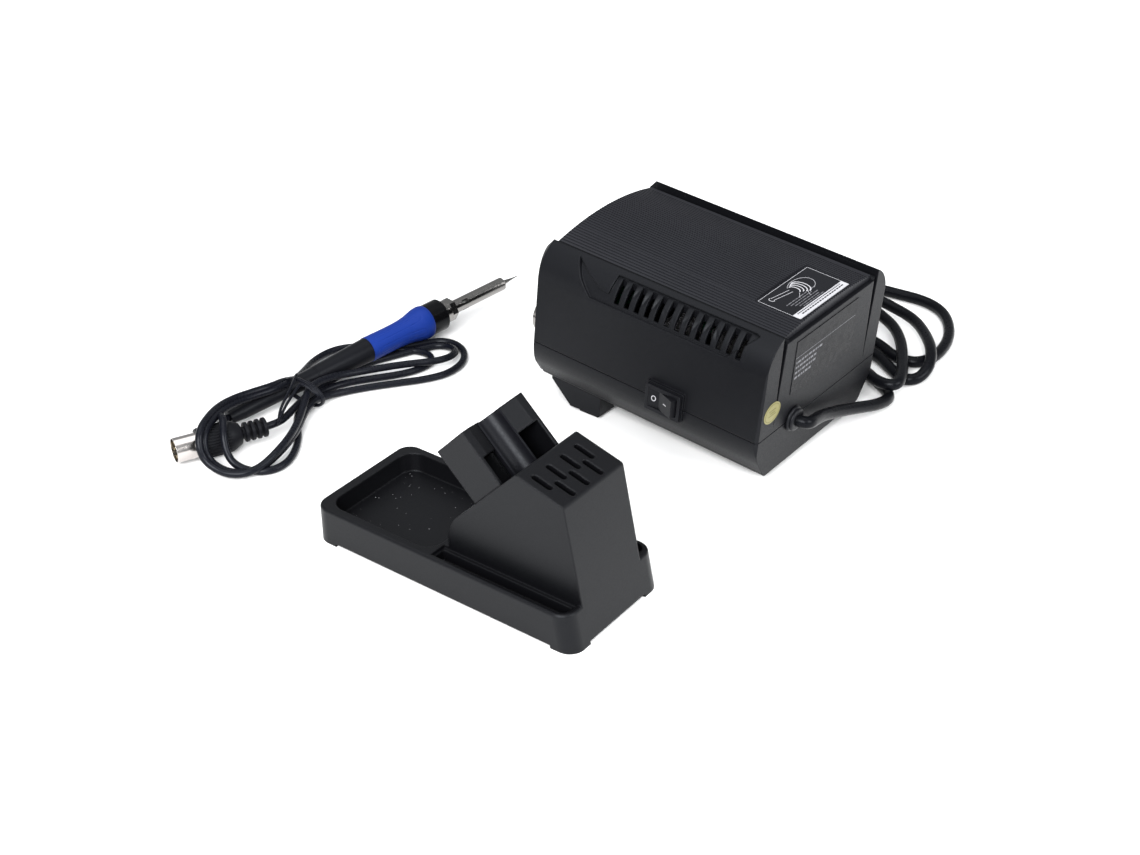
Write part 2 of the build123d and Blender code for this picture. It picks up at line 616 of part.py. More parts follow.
def solder_tip():
    """A long conical tip, bored from the back for the heater."""
    return iron * turned([(0, 0), (0.3, 0.1), (0.5, 3.5), (1.6, 11.0), (1.8, TUBE_FRONT), (3.2, TUBE_FRONT + 0.8),
                          (3.2, 30.0), (2.0, 30.0), (2.0, 15.0), (0, 15.0)])


def heating_element():
    return iron * (Pos(0, 0, 39.0) * Cylinder(1.7, 44.0))


def barrel_tube():
    """The nickel tube over the tip, with two rings of oval vents near the nut."""
    tube = turned([(3.35, TUBE_FRONT), (3.9, TUBE_FRONT + 0.4), (3.9, NUT_FRONT + 2.0), (3.35, NUT_FRONT + 2.0)])
    for k in range(4):
        slot = extrude(SlotOverall(5.0, 1.8, rotation=90), amount=10)
        tube -= Rot(0, 0, 45 + 90 * k) * Pos(0, 0, 43.0) * Rot(90, 0, 0) * slot
    return iron * tube


def barrel_nut():
    """The nut that clamps the barrel: a hexagon ahead of a round skirt."""
    hexagon = Pos(0, 0, NUT_FRONT) * extrude(RegularPolygon(6.7, 6), amount=4.0)
    skirt = Pos(0, 0, NUT_FRONT + 6.2) * Cylinder(6.7, 4.4)
    return iron * (hexagon + skirt - Pos(0, 0, NUT_FRONT) * Cylinder(3.95, 40))


def front_collar():
    return iron * turned([(2.0, COLLAR_FRONT), (8.6, COLLAR_FRONT), (9.2, COLLAR_FRONT + 0.6),
                          (9.2, GRIP_FRONT), (2.0, GRIP_FRONT)])


def grip_sleeve():
    """The soft grip: flared at its front, waisted for the fingers."""
    side = Curve() + [
        Line((6.0, 0, GRIP_FRONT), (9.6, 0, GRIP_FRONT)),
        ThreePointArc((9.6, 0, GRIP_FRONT), (9.75, 0, 74.0), (9.3, 0, 78.0)),
        Spline((9.3, 0, 78.0), (7.4, 0, 87.0), (7.0, 0, 98.0), (7.2, 0, GRIP_BACK),
               tangents=[(-0.25, 0, 1), (0.0, 0, 1)]),
        Line((7.2, 0, GRIP_BACK), (6.0, 0, GRIP_BACK)),
        Line((6.0, 0, GRIP_BACK), (6.0, 0, GRIP_FRONT)),
    ]
    return iron * revolve(make_face(side), Axis.Z)


def handle_body():
    return iron * turned([(2.0, GRIP_FRONT), (5.9, GRIP_FRONT), (5.9, GRIP_BACK), (7.0, GRIP_BACK),
                          (5.2, BOOT_FRONT), (3.0, BOOT_FRONT), (2.0, BOOT_FRONT - 20)])


def tail_boot():
    return iron * turned([(LEAD_R + 0.02, BOOT_FRONT), (5.0, BOOT_FRONT), (4.4, 170.0), (4.3, 198.0),
                          (3.6, IRON_LENGTH), (LEAD_R + 0.02, IRON_LENGTH)])


def din_plug():
    """The iron's round plug: nickel shell, ribbed grip with strain relief, core and pins."""
    reach = (PLUG_FRONT - PLUG_BACK).length
    grip_at, shell_at = reach - 31.0, reach - 12.0
    grip = turned([(LEAD_R + 0.02, 0), (3.4, 0), (4.2, grip_at - 3), (7.4, grip_at + 1), (8.4, grip_at + 4),
                   (8.4, shell_at), (5.0, shell_at), (5.0, shell_at - 6), (LEAD_R + 0.02, shell_at - 6)])
    for k in range(4):
        grip += turned([(2.6, 0.2 + 3.2 * k), (5.2, 0.2 + 3.2 * k), (5.2, 1.9 + 3.2 * k), (2.6, 1.9 + 3.2 * k)])
    shell = turned([(6.2, shell_at), (6.6, shell_at), (6.6, reach), (6.2, reach)])
    core = turned([(0, shell_at - 5.9), (4.95, shell_at - 5.9), (4.95, shell_at), (6.15, shell_at),
                   (6.15, reach - 6.0), (0, reach - 6.0)])
    pins = []
    for k in range(5):
        turn = radians(-90 + 72 * k)
        pins.append(Pos(4.0 * cos(turn), 4.0 * sin(turn), reach - 3.5) * Cylinder(0.7, 5.0))
    return plug * grip, plug * shell, plug * core, plug * Compound(children=pins)


LEAD_START = [
    (TAIL_POINT.X, TAIL_POINT.Y, TAIL_POINT.Z),
    (101.2, -128.9, 5.2),
    (108.4, -128.6, 4.0),
    (115.3, -126.4, 3.0),
]
LEAD_END = [
    (67.3, -92.6, 7.0),
    (74.6, -95.3, 8.2),
    (82.6, -99.9, 8.6),
    (PLUG_BACK.X, PLUG_BACK.Y, PLUG_BACK.Z),
]


def lead_hank():
    """The outer shape of the iron lead's hank: two lobes joined at the tied waist."""
    outline = Polyline(
        (46, -109), (26, -97), (6, -83), (-12, -72), (-26, -69), (-38, -76), (-44, -87), (-43, -98), (-34, -105),
        (-10, -123), (0, -135), (10, -141), (22, -140), (34, -137), (50, -143), (68, -148), (88, -146), (106, -137),
        (122, -123), (134, -105), (136, -91), (128, -79), (114, -74), (98, -75), (84, -81), (70, -93), (58, -103), close=True)
    slab = extrude(make_face(outline), amount=9.0)
    slab -= Pos(-6, -93, 0) * Rot(0, 0, -35) * extrude(Ellipse(24, 7), amount=20)
    slab -= Pos(101, -104, 0) * Rot(0, 0, 25) * extrude(Ellipse(24, 14), amount=20)
    return slab


def clear_of_iron():
    """The room that the iron and its plug need over and through the hank."""
    room = iron * turned([(0, 56.0), (10.2, 56.0), (10.2, 82.0), (7.8, 90.0), (7.6, 116.0), (5.6, 152.0),
                          (4.9, 172.0), (4.8, 212.0), (0, 212.0)])
    room += plug * turned([(0, -1.0), (5.7, -1.0), (5.7, 16.0), (8.9, 20.0), (8.9, 60.0), (0, 60.0)])
    return room


def twist_tie():
    """The twist tie round the handle and the hank's waist."""
    ring = turned([(6.8, -1.2), (8.2, -1.2), (8.2, 1.2), (6.8, 1.2)])
    return iron * (Pos(0, 0, 158.0) * ring)


# ---- write every node ------------------------------------------------------------------------------
def write(name, shape):
    export_step(shape, "parts/" + name + ".step")


write("lower_shell", lower_shell())
write("upper_cover", station * upper_cover())
write("top_panel", top_panel())
write("top_label", top_label())
write("rating_plate", rating_plate())
write("qc_sticker", qc_sticker())
write("rear_feet", rear_feet())
write("leg_pads", leg_pads())
write("case_screws", case_screws())
write("front_panel", front_panel())
write("display_window", display_window())
write("display_module", display_module())
write("front_pcb", front_pcb())
write("status_led", status_led())
for name, x in zip(("button_down", "button_up", "button_set"), BUTTON_X):
    write(name, push_button(x))
for name, shape in zip(("socket_shell", "socket_nut", "socket_insert"), iron_socket()):
    write(name, shape)
write("main_pcb", main_pcb())
write("pcb_components", pcb_components())
write("heat_sink", heat_sink())
for name, shape in zip(("transformer_core", "transformer_winding", "transformer_strap"), transformer()):
    write(name, shape)
write("rocker_housing", rocker_housing())
write("rocker_paddle", rocker_paddle())
write("switch_terminals", switch_terminals())
write("cord_grommet", cord_grommet())
write("mains_lead", cord_tube(MAINS_ROUTE, MAINS_R, "mains_lead"))
write("mains_coil", mains_coil())
write("mains_tail", cord_tube(MAINS_TAIL, MAINS_R, "mains_tail"))
for name, shape in zip(("mains_plug", "mains_plug_pins"), mains_plug()):
    write(name, shape)
write("stand_base", stand_base())
write("iron_holder", iron_holder())
write("holder_guide", holder_guide())
write("stand_feet", stand_feet())
write("solder_tip", solder_tip())
write("heating_element", heating_element())
write("barrel_tube", barrel_tube())
write("barrel_nut", barrel_nut())
write("front_collar", front_collar())
write("grip_sleeve", grip_sleeve())
write("handle_body", handle_body())
write("tail_boot", tail_boot())
for name, shape in zip(("plug_body", "plug_shell", "plug_core", "plug_pins"), din_plug()):
    write(name, shape)
lead_start = cord_tube(LEAD_START, LEAD_R, "lead_start")
lead_end = cord_tube(LEAD_END, LEAD_R, "lead_end")
write("lead_start", lead_start)
write("lead_hank", lead_hank() - clear_of_iron() - twist_tie() - lead_start - lead_end)
write("lead_end", lead_end)
write("twist_tie", twist_tie())
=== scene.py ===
import math

import bpy
import bmesh
from mathutils import Matrix, Vector


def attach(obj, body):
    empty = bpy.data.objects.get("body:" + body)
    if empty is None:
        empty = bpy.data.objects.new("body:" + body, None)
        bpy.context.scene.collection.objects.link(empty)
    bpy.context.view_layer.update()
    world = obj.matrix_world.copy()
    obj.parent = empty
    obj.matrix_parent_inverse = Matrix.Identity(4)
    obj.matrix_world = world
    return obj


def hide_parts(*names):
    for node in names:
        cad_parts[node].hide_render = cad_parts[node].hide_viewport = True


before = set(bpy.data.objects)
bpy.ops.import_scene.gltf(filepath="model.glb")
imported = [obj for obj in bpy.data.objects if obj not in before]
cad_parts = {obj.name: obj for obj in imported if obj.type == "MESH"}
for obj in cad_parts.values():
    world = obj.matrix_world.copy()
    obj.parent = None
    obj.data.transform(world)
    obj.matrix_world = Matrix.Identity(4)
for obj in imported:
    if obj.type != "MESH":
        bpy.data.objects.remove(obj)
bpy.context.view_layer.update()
MM = 0.001

# The station's own frame: millimetres from its seam at the front edge, tilted with the case.
STATION = (Matrix.Translation((-0.0788, -0.01439, 0.04035))
           @ Matrix.Rotation(math.radians(-4.32), 4, "X"))
TIP, TAIL = Vector((-110.7, -99.2, 15.2)), Vector((94.2, -128.1, 6.3))
PLUG_BACK, PLUG_FRONT = Vector((90.3, -103.5, 8.6)), Vector((135.3, -124.0, 8.6))


def ahead(point, toward):
    """A frame at a point, in millimetres, whose Z runs toward another point."""
    direction = (toward - point).normalized()
    side = Vector((0, 0, 1)).cross(direction).normalized()
    other = direction.cross(side)
    turn = Matrix((side, other, direction)).transposed().to_4x4()
    return Matrix.Translation(point * MM) @ turn


IRON = ahead(TIP, TAIL)
PLUG = ahead(PLUG_BACK, PLUG_FRONT)


# ---- camera --------------------------------------------------------------------------------------
LENS, SENSOR = 57.3, 36.0
CAMERA_AT = (0.6258, 0.5088, 0.5093)
CAMERA_FORWARD = (-0.6704, -0.5174, -0.5320)


def make_camera():
    data = bpy.data.cameras.new("camera")
    data.lens = LENS
    data.sensor_width = SENSOR
    camera = bpy.data.objects.new("camera", data)
    bpy.context.scene.collection.objects.link(camera)
    camera.location = CAMERA_AT
    camera.rotation_euler = Vector(CAMERA_FORWARD).to_track_quat("-Z", "Y").to_euler()
    bpy.context.scene.camera = camera


make_camera()


# ---- materials -----------------------------------------------------------------------------------
COOL_WHITE = (0.90, 0.94, 1.0, 1.0)
CLOUD_SCALE = 35.0


def new_material(name):
    """A node material with its tree and its shader."""
    material = bpy.data.materials.new(name)
    material.use_nodes = True
    tree = material.node_tree
    shader = tree.nodes["Principled BSDF"]
    return material, tree, shader


def noise(tree, scale, detail=3.0, stretch=(1, 1, 1)):
    """A noise value in the object's own space."""
    where = tree.nodes.new("ShaderNodeTexCoord")
    mapping = tree.nodes.new("ShaderNodeMapping")
    mapping.inputs["Scale"].default_value = stretch
    texture = tree.nodes.new("ShaderNodeTexNoise")
    texture.inputs["Scale"].default_value = scale
    texture.inputs["Detail"].default_value = detail
    tree.links.new(where.outputs["Object"], mapping.inputs["Vector"])
    tree.links.new(mapping.outputs["Vector"], texture.inputs["Vector"])
    return texture.outputs["Fac"]


def ramp(tree, value, low, high):
    """A value mapped from its middle range to low..high."""
    change = tree.nodes.new("ShaderNodeMapRange")
    change.inputs["From Min"].default_value = 0.3
    change.inputs["From Max"].default_value = 0.7
    change.inputs["To Min"].default_value = low
    change.inputs["To Max"].default_value = high
    tree.links.new(value, change.inputs["Value"])
    return change.outputs["Result"]


def tint(tree, value, dark, light):
    """A colour between two others, chosen by a value."""
    mix = tree.nodes.new("ShaderNodeMix")
    mix.data_type = "RGBA"
    mix.inputs["A"].default_value = (*dark, 1)
    mix.inputs["B"].default_value = (*light, 1)
    tree.links.new(value, mix.inputs["Factor"])
    return mix.outputs["Result"]


def bump(tree, shader, value, strength, distance, rounding=0.0):
    """Fine relief, over edges that are shaded round where a rounding is given."""
    node = tree.nodes.new("ShaderNodeBump")
    node.inputs["Strength"].default_value = strength
    node.inputs["Distance"].default_value = distance
    tree.links.new(value, node.inputs["Height"])
    if rounding:
        edge = tree.nodes.new("ShaderNodeBevel")
        edge.samples = 4
        edge.inputs["Radius"].default_value = rounding
        tree.links.new(edge.outputs["Normal"], node.inputs["Normal"])
    tree.links.new(node.outputs["Normal"], shader.inputs["Normal"])


def surface(name, color, spread=0.15, rough=(0.4, 0.5), grain=900.0, relief=0.2, depth=0.0001,
            metal=0.0, specular=0.5, rounding=0.0, stretch=(1, 1, 1)):
    """A moulded or machined surface: a fine grain in its relief, and cloudier colour and gloss."""
    material, tree, shader = new_material(name)
    clouds = noise(tree, CLOUD_SCALE, 4.0)
    fine = noise(tree, grain, 3.0, stretch)
    dark = tuple(c * (1 - spread) for c in color)
    light = tuple(c * (1 + spread) for c in color)
    tree.links.new(tint(tree, clouds, dark, light), shader.inputs["Base Color"])
    tree.links.new(ramp(tree, fine, *rough), shader.inputs["Roughness"])
    shader.inputs["Metallic"].default_value = metal
    shader.inputs["Specular IOR Level"].default_value = specular
    if not metal:
        shader.inputs["Specular Tint"].default_value = COOL_WHITE
    bump(tree, shader, fine, relief, depth, rounding)
    return material


case = surface("case_plastic", (0.0028, 0.0029, 0.0038), rough=(0.40, 0.52), grain=1600, relief=0.25,
               depth=0.00012, specular=0.14, rounding=0.0008)
stand_plastic = surface("stand_plastic", (0.0021, 0.0021, 0.0027), rough=(0.34, 0.46), grain=1500,
                        relief=0.2, specular=0.18, rounding=0.0012)
ribbed = surface("ribbed_plastic", (0.0096, 0.0097, 0.0120), rough=(0.38, 0.5), grain=1600, relief=0.15,
                 specular=0.200)
inner_dark = surface("inner_dark", (0.003, 0.003, 0.0036), rough=(0.5, 0.7), grain=900, specular=0.08)
# The holder guide's separate dark material is painted shade, standing for the shade deep in the holder's
# channel.
liner_painted_shade = surface("liner_painted_shade", (0.0045, 0.0046, 0.0060), rough=(0.3, 0.42), grain=900, specular=0.14)
grip_blue = surface("grip_blue", (0.0054, 0.0232, 0.1720), spread=0.1, rough=(0.42, 0.55), grain=1400,
                    relief=0.2, specular=0.120)
handle_black = surface("handle_black", (0.0038, 0.0040, 0.0053), rough=(0.34, 0.46), grain=1500, relief=0.15,
                       specular=0.100, rounding=0.0003)
gloss_black = surface("gloss_black", (0.0026, 0.0026, 0.0030), rough=(0.16, 0.24), grain=800, relief=0.05,
                      specular=0.12, rounding=0.0004)
switch_black = surface("switch_black", (0.0049, 0.0050, 0.0062), rough=(0.3, 0.42), grain=1500, relief=0.1,
                       specular=0.140, rounding=0.0003)
black_rubber = surface("black_rubber", (0.0042, 0.0043, 0.0055), rough=(0.42, 0.55), grain=1200, relief=0.2,
                       specular=0.110, rounding=0.0003)
cable_black = surface("cable_black", (0.0025, 0.0027, 0.0036), rough=(0.25, 0.36), grain=700, relief=0.12,
                      specular=0.080)
lead_black = surface("lead_black", (0.0042, 0.0046, 0.0069), rough=(0.24, 0.34), grain=900, relief=0.1,
                     specular=0.120)
# Two copies of one nickel plating whose colours stand for light falling differently: this darker one is
# painted shade on the barrel, socket and tip; the brighter one below is painted light on the plug shell.
nickel = surface("nickel", (0.27, 0.26, 0.25), spread=0.06, rough=(0.14, 0.24), grain=600, relief=0.06,
                 metal=1.0, stretch=(1, 1, 0.1), rounding=0.0002)
lit_nickel = surface("lit_nickel", (0.54, 0.51, 0.49), spread=0.06, rough=(0.14, 0.24), grain=600,
                       relief=0.06, metal=1.0, stretch=(1, 1, 0.1), rounding=0.0002)
steel = surface("steel", (0.5, 0.5, 0.5), spread=0.08, rough=(0.25, 0.4), grain=600, metal=1.0)
copper = surface("copper", (0.62, 0.33, 0.16), spread=0.15, rough=(0.25, 0.4), grain=500, metal=1.0)
brass = surface("brass", (0.62, 0.50, 0.28), spread=0.1, rough=(0.2, 0.35), grain=500, metal=1.0)
aluminium = surface("aluminium", (0.65, 0.65, 0.67), spread=0.05, rough=(0.3, 0.45), metal=1.0)
iron_core = surface("iron_core", (0.10, 0.10, 0.105), rough=(0.4, 0.6), metal=0.8, stretch=(1, 9, 1))
board = surface("board", (0.006, 0.07, 0.03), rough=(0.3, 0.45), grain=300)
led_red = surface("led_red", (0.35, 0.012, 0.01), rough=(0.1, 0.2), grain=300, relief=0.05)
button_grey = surface("button_grey", (0.035, 0.038, 0.045), rough=(0.4, 0.5), grain=1400, specular=0.25)
print_white = surface("print_white", (0.40, 0.40, 0.42), spread=0.08, rough=(0.4, 0.5), specular=0.2)
print_grey = surface("print_grey", (0.11, 0.11, 0.12), spread=0.2, rough=(0.4, 0.5), specular=0.2)
film = surface("film", (0.0066, 0.0067, 0.0084), rough=(0.25, 0.36), grain=500, relief=0.05, specular=0.120)
plate_film = surface("plate_film", (0.0029, 0.0030, 0.0040), spread=0.5, rough=(0.22, 0.34), grain=300,
                     relief=0.05, specular=0.060)
sticker_green = surface("sticker_green", (0.1922, 0.1767, 0.0713), spread=0.1, rough=(0.35, 0.5), grain=300,
                        relief=0.05, specular=0.2)
sticker_dark = surface("sticker_dark", (0.1020, 0.0930, 0.0270), spread=0.2, rough=(0.35, 0.5), specular=0.2)
window_glass = surface("window_glass", (0.010, 0.012, 0.014), rough=(0.05, 0.1), grain=200, relief=0.02,
                       specular=0.4)
dust = surface("dust", (0.25, 0.25, 0.26), spread=0.2, rough=(0.6, 0.8))

NODE_MATERIALS = {
    case: "lower_shell upper_cover front_panel",
    stand_plastic: "stand_base iron_holder",
    liner_painted_shade: "holder_guide",
    ribbed: "top_panel",
    film: "top_label",
    plate_film: "rating_plate",
    sticker_green: "qc_sticker",
    black_rubber: "rear_feet leg_pads stand_feet cord_grommet plug_body",
    nickel: "socket_shell socket_nut barrel_tube barrel_nut solder_tip",
    lit_nickel: "plug_shell",
    steel: "case_screws transformer_strap heating_element",
    copper: "transformer_winding",
    brass: "switch_terminals plug_pins mains_plug_pins",
    aluminium: "heat_sink",
    iron_core: "transformer_core",
    board: "front_pcb main_pcb",
    led_red: "status_led",
    button_grey: "button_down button_up button_set",
    window_glass: "display_window",
    inner_dark: "display_module pcb_components socket_insert plug_core",
    switch_black: "rocker_housing rocker_paddle mains_plug",
    gloss_black: "front_collar",
    handle_black: "handle_body tail_boot",
    grip_blue: "grip_sleeve",
    lead_black: "twist_tie",
}
for material, names in NODE_MATERIALS.items():
    for name in names.split():
        node = bpy.data.objects[name]
        node.data.materials.clear()
        node.data.materials.append(material)


# ---- helpers for pieces --------------------------------------------------------------------------
def piece(name, points, faces, place, material, body, replaced=(), smooth=None):
    """A mesh piece from points in millimetres of a local frame, riding on a body."""
    mesh = bpy.data.meshes.new(name)
    mesh.from_pydata([place @ (Vector(p) * MM) for p in points], [], faces)
    work = bmesh.new()
    work.from_mesh(mesh)
    bmesh.ops.remove_doubles(work, verts=work.verts, dist=1e-7)
    bmesh.ops.recalc_face_normals(work, faces=work.faces)
    work.to_mesh(mesh)
    work.free()
    mesh.materials.append(material)
    obj = bpy.data.objects.new(name, mesh)
    bpy.context.scene.collection.objects.link(obj)
    if smooth is not None:
        for polygon in mesh.polygons:
            polygon.use_smooth = True
        mark_sharp(mesh, smooth)
    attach(obj, body)
    if replaced:
        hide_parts(*replaced)
    return obj


def mark_sharp(mesh, degrees):
    """Edges whose faces meet at more than an angle stay sharp."""
    work = bmesh.new()
    work.from_mesh(mesh)
    limit = math.radians(degrees)
    for edge in work.edges:
        edge.smooth = len(edge.link_faces) == 2 and edge.calc_face_angle(0.0) < limit
    work.to_mesh(mesh)
    work.free()


def lathe(rows, around=64, shape=None):
    """Points and faces of a closed turned solid from (radius, height) rows, outside then back."""
    points, faces = [], []
    count = len(rows)
    for row, (radius, height) in enumerate(rows):
        for k in range(around):
            turn = 2 * math.pi * k / around
            r = shape(radius, height, turn) if shape else radius
            points.append((r * math.cos(turn), r * math.sin(turn), height))
    for row in range(count):
        after = (row + 1) % count
        for k in range(around):
            ahead_k = (k + 1) % around
            faces.append((row * around + k, row * around + ahead_k,
                          after * around + ahead_k, after * around + k))
    return points, faces


def boxes(specs):
    """Points and faces of several boxes, each (x0, x1, y0, y1, z0, z1)."""
    points, faces = [], []
    for x0, x1, y0, y1, z0, z1 in specs:
        start = len(points)
        points += [(x, y, z) for x in (x0, x1) for y in (y0, y1) for z in (z0, z1)]
        faces += [tuple(start + k for k in face) for face in
                  ((0, 1, 3, 2), (4, 6, 7, 5), (0, 4, 5, 1), (2, 3, 7, 6), (0, 2, 6, 4), (1, 5, 7, 3))]
    return points, faces


def ribbon(line, width, z0, z1):
    """A flat strip of even width along a 2-D line, from z0 to z1."""
    points, faces = [], []
    for k, (x, y) in enumerate(line):
        before, after = line[max(k - 1, 0)], line[min(k + 1, len(line) - 1)]
        dx, dy = after[0] - before[0], after[1] - before[1]
        size = math.hypot(dx, dy)
        nx, ny = -dy / size * width / 2, dx / size * width / 2
        points += [(x + nx, y + ny, z0), (x - nx, y - ny, z0), (x - nx, y - ny, z1), (x + nx, y + ny, z1)]
    last = len(line) - 1
    for k in range(last):
        for j in range(4):
            after_j = (j + 1) % 4
            faces.append((4 * k + j, 4 * k + after_j, 4 * k + 4 + after_j, 4 * k + 4 + j))
    faces.append((0, 1, 2, 3))
    faces.append((4 * last + 3, 4 * last + 2, 4 * last + 1, 4 * last))
    return points, faces


def prism(outline, z0, z1):
    """A flat plate whose outline is a closed 2-D line."""
    count = len(outline)
    points = [(x, y, z0) for x, y in outline] + [(x, y, z1) for x, y in outline]
    faces = [tuple(reversed(range(count))), tuple(range(count, 2 * count))]
    for k in range(count):
        after = (k + 1) % count
        faces.append((k, after, count + after, count + k))
    return points, faces


def joined(parts):
    """Several (points, faces) pairs as one."""
    points, faces = [], []
    for some_points, some_faces in parts:
        start = len(points)
        points += some_points
        faces += [tuple(start + k for k in face) for face in some_faces]
    return points, faces


def circle(cx, cy, rx, ry, start=0.0, end=360.0, steps=40):
    """Points along an oval or a part of one, between two angles in degrees."""
    return [(cx + rx * math.cos(math.radians(start + (end - start) * k / steps)),
             cy + ry * math.sin(math.radians(start + (end - start) * k / steps)))
            for k in range(steps + 1)]


def cord(name, points, radius, material, body):
    """A cord: one smooth NURBS line through the route's points, in millimetres, made round."""
    data = bpy.data.curves.new(name, "CURVE")
    data.dimensions = "3D"
    data.bevel_depth = radius * MM
    data.bevel_resolution = 6
    data.resolution_u = 10
    data.use_fill_caps = True
    spline = data.splines.new("NURBS")
    spline.points.add(len(points) - 1)
    for control, (x, y, z) in zip(spline.points, points):
        control.co = (x * MM, y * MM, z * MM, 1.0)
    spline.order_u = 3
    spline.use_endpoint_u = True
    data.materials.append(material)
    obj = bpy.data.objects.new(name, data)
    bpy.context.scene.collection.objects.link(obj)
    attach(obj, body)
    return obj


# ---- mains lead ----------------------------------------------------------------------------------
MAINS_RADIUS = 3.2
MAINS_LEAD = [
    (-53.8, 128.5, 29.6), (-53.9, 131.6, 29.4), (-57.0, 133.4, 28.4), (-64.0, 132.2, 26.4),
    (-73.0, 130.6, 23.6), (-83.0, 130.2, 20.2), (-97.0, 131.0, 15.6), (-111.0, 133.0, 11.2),
    (-125.0, 135.6, 7.0), (-137.5, 136.0, 4.6), (-145.5, 130.5, 3.4), (-152.0, 120.0, 3.3),
    # first turn, on the bench
    (-160.0, 106.0, 3.3), (-157.0, 84.0, 3.3), (-152.0, 55.0, 3.3), (-153.0, 26.0, 3.3),
    (-164.0, 4.0, 3.3), (-184.0, -7.0, 3.3), (-207.0, -5.0, 3.3), (-227.0, 10.0, 3.3),
    (-240.0, 32.0, 3.3), (-246.0, 56.0, 3.3), (-249.0, 79.0, 3.3), (-251.0, 97.0, 3.3),
    (-245.0, 112.0, 3.3), (-230.0, 124.0, 3.3), (-213.0, 131.0, 3.3), (-195.0, 133.0, 3.3),
    (-182.0, 128.0, 3.3), (-181.0, 115.0, 3.3), (-189.0, 101.0, 3.3),
    # second turn, over the first
    (-192.0, 84.0, 3.6), (-188.0, 60.0, 5.0), (-183.0, 36.0, 8.5), (-182.0, 16.0, 9.8),
    (-192.0, 2.0, 9.8), (-209.0, 3.0, 9.8), (-221.0, 19.0, 9.8), (-227.0, 42.0, 9.8),
    (-228.0, 66.0, 9.6), (-226.0, 88.0, 7.4), (-221.0, 105.0, 7.0), (-208.0, 119.0, 8.4),
    (-190.0, 133.0, 10.0), (-177.0, 138.5, 7.0), (-167.0, 137.5, 3.6), (-162.0, 131.0, 3.4),
    (-168.0, 120.0, 3.4), (-177.0, 107.0, 3.4),
    # third turn, on top
    (-180.0, 90.0, 3.4), (-174.0, 66.0, 3.6), (-169.0, 42.0, 5.0), (-168.0, 20.0, 9.0),
    (-176.0, 0.0, 14.0), (-193.0, -8.0, 16.4), (-211.0, 1.0, 16.4), (-220.0, 22.0, 16.4),
    (-221.0, 47.0, 15.6), (-215.0, 72.0, 12.6), (-206.0, 94.0, 10.4), (-199.0, 105.0, 10.2),
    (-186.0, 116.0, 10.2), (-170.0, 125.5, 10.4), (-154.0, 134.0, 11.2), (-142.0, 137.5, 11.4),
    (-139.5, 129.0, 10.8), (-147.0, 113.0, 9.9), (-152.5, 88.0, 9.8), (-150.0, 60.0, 9.8),
    (-150.5, 32.0, 9.4), (-156.0, 6.0, 8.4),
    # up to the plug, behind the station
    (-160.2, -13.5, 8.0), (-160.8, -20.0, 10.2), (-162.4, -26.6, 13.2), (-165.2, -32.8, 15.6),
    (-168.8, -38.6, 16.6), (-172.4, -44.4, 16.8),
]
mains_cord = cord("mains_cord", MAINS_LEAD, MAINS_RADIUS, cable_black, "station")
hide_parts("mains_lead", "mains_coil", "mains_tail")


